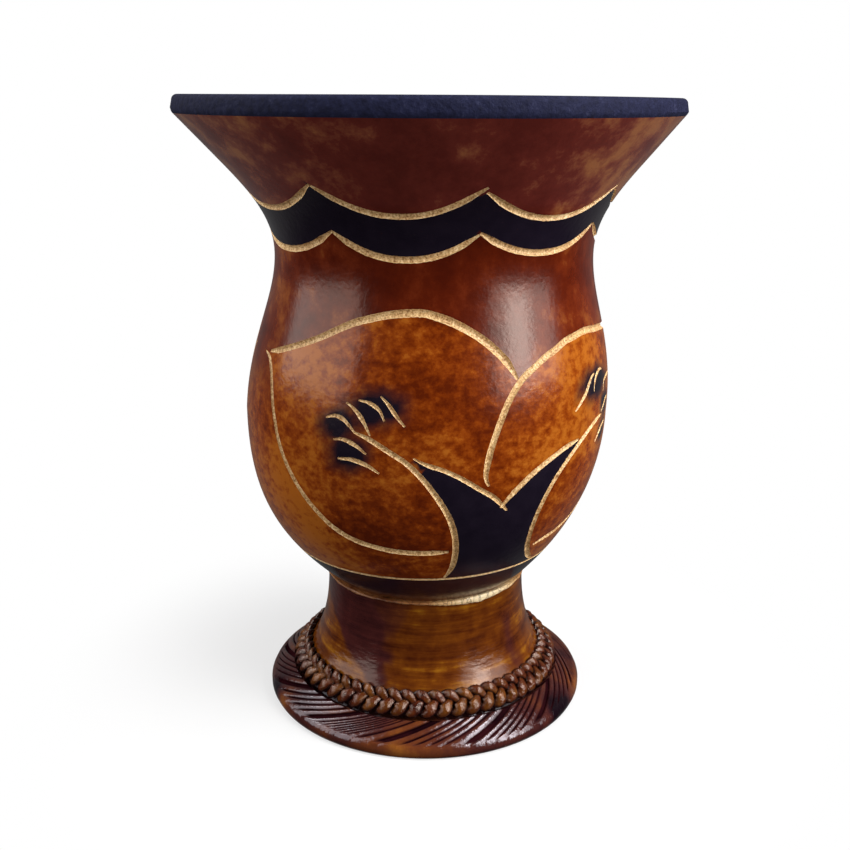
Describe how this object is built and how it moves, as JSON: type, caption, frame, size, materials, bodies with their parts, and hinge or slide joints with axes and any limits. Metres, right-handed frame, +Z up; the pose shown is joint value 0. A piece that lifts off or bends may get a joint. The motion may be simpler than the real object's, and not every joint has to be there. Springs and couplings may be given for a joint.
{
  "type": "mate gourd",
  "caption": "Dried calabash drinking gourd with a belled mouth and carved belly, bedded in putty on a flared turned stem with a plaited ring and a swirl-fluted round base.",
  "frame": {"origin": "on the table, under the middle of the foot", "axes": "+Z up along the gourd, -Y towards the side that the picture shows, +X to that side's right"},
  "size_m": [0.11, 0.11, 0.1416],
  "materials": {
    "gourd_shell": "dried gourd shell, stained amber to red-brown with black painted and scorched parts, gouged pale lines, gloss lacquer outside, black matt cut lip, bare inside",
    "putty": "cream filler, cracked, matt",
    "stem_wood": "turned, amber-brown stain brushed on in streaks, gloss lacquer",
    "base_wood": "carved swirl flutes, amber on the ridges and dark brown in the grooves, gloss lacquer",
    "plait_leather": "plaited strands, brown, soaked in gloss lacquer that pools dark between them"
  },
  "bodies": {
    "root": {"gourd_bowl": "gourd_shell", "joint_filler": "putty", "foot_stem": "stem_wood", "foot_base": "base_wood", "braid_strand_1": "plait_leather", "braid_strand_2": "plait_leather", "braid_strand_3": "plait_leather"}
  },
  "joints": []
}
